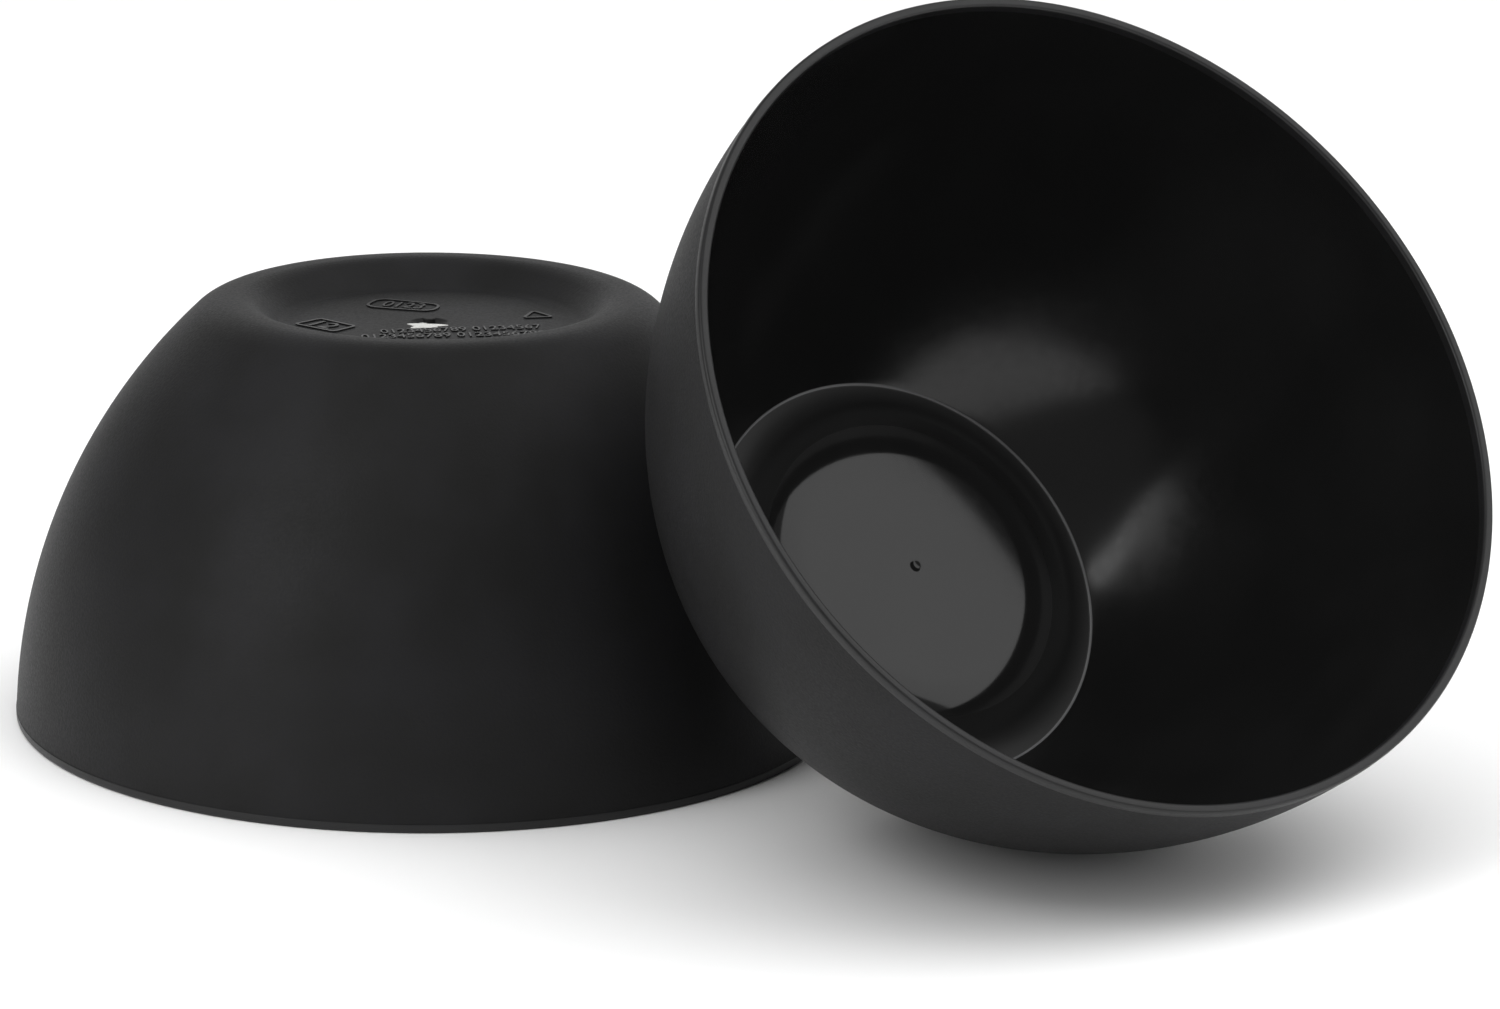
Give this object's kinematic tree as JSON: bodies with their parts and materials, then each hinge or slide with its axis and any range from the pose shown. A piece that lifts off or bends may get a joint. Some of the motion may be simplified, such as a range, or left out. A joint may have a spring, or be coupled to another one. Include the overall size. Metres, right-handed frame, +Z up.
{
  "type": "hair tint mixing bowls",
  "caption": "Plain deep round tint bowls in black plastic, matte outside and glossy inside, with a thin rim and a recessed foot, for mixing hair color.",
  "frame": {"origin": "on the table, under the middle of the pair's bounding box", "axes": "+X along the longest side of the pair, from the upturned bowl towards the leaning bowl; -Y towards the side that the leaning bowl's mouth faces; +Z up"},
  "size_m": [0.2596, 0.2104, 0.1386],
  "materials": {
    "black_polypropylene": "fine spark-eroded grain outside, polished inside"
  },
  "bodies": {
    "upturned": {"upturned_bowl": "black_polypropylene"},
    "leaning": {"leaning_bowl": "black_polypropylene"}
  },
  "joints": [
    {"name": "lift_off", "type": "slide", "parent": "upturned", "child": "leaning", "axis": [0, 0, 1], "range_m": [0, 0.12]}
  ]
}
